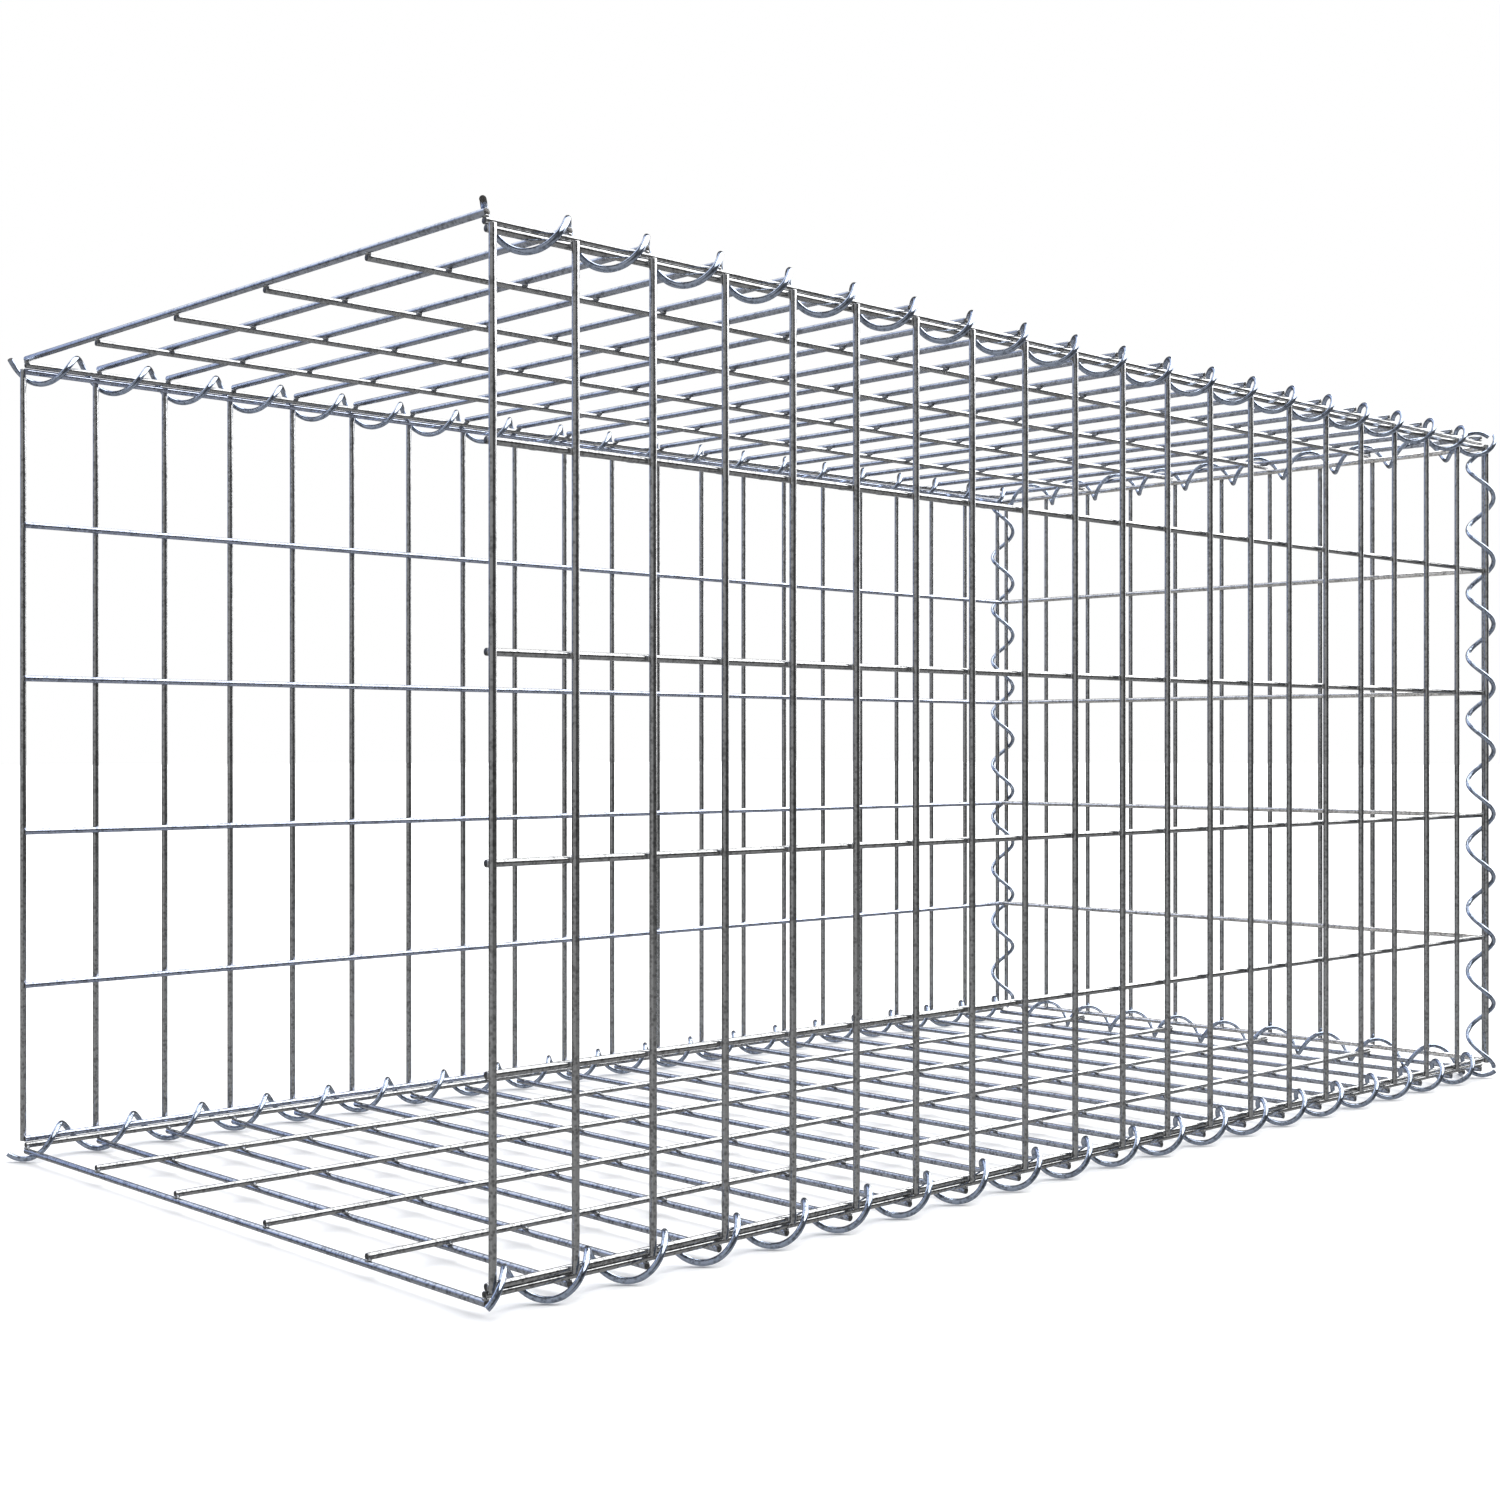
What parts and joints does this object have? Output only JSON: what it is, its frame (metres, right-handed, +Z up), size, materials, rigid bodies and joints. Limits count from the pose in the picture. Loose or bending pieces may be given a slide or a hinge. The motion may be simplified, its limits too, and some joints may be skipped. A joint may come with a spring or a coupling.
{
  "type": "gabion basket",
  "caption": "Rectangular welded wire mesh gabion basket with a lid and one open end, bound along its edges by spiral binders.",
  "frame": {"origin": "on the ground under the middle of the mesh, level with the lowest turns of the bottom spirals", "axes": "+X along the basket from its open end to its end panel, +Y from the front to the back, +Z up"},
  "size_m": [1.0257, 0.5254, 0.5304],
  "materials": {
    "mesh_wire": "galvanised, satin",
    "spiral_wire": "galvanised, satin"
  },
  "bodies": {
    "root": {"back_bottom_edge_wire": "mesh_wire", "back_bottom_spiral": "spiral_wire", "back_end_spiral": "spiral_wire", "back_line_wire_1": "mesh_wire", "back_line_wire_2": "mesh_wire", "back_line_wire_3": "mesh_wire", "back_line_wire_4": "mesh_wire", "back_top_edge_wire": "mesh_wire", "back_top_spiral": "spiral_wire", "back_uprights": "mesh_wire", "base_back_edge_wire": "mesh_wire", "base_cross_wires": "mesh_wire", "base_front_edge_wire": "mesh_wire", "base_line_wire_1": "mesh_wire", "base_line_wire_2": "mesh_wire", "base_line_wire_3": "mesh_wire", "base_line_wire_4": "mesh_wire", "bottom_end_spiral": "spiral_wire", "end_bottom_edge_wire": "mesh_wire", "end_line_wire_1": "mesh_wire", "end_line_wire_2": "mesh_wire", "end_line_wire_3": "mesh_wire", "end_line_wire_4": "mesh_wire", "end_top_edge_wire": "mesh_wire", "end_uprights": "mesh_wire", "front_bottom_edge_wire": "mesh_wire", "front_bottom_spiral": "spiral_wire", "front_end_spiral": "spiral_wire", "front_line_wire_1": "mesh_wire", "front_line_wire_2": "mesh_wire", "front_line_wire_3": "mesh_wire", "front_line_wire_4": "mesh_wire", "front_top_edge_wire": "mesh_wire", "front_top_spiral": "spiral_wire", "front_uprights": "mesh_wire", "lid_back_edge_wire": "mesh_wire", "lid_cross_wires": "mesh_wire", "lid_front_edge_wire": "mesh_wire", "lid_line_wire_1": "mesh_wire", "lid_line_wire_2": "mesh_wire", "lid_line_wire_3": "mesh_wire", "lid_line_wire_4": "mesh_wire", "top_end_spiral": "spiral_wire"}
  },
  "joints": []
}
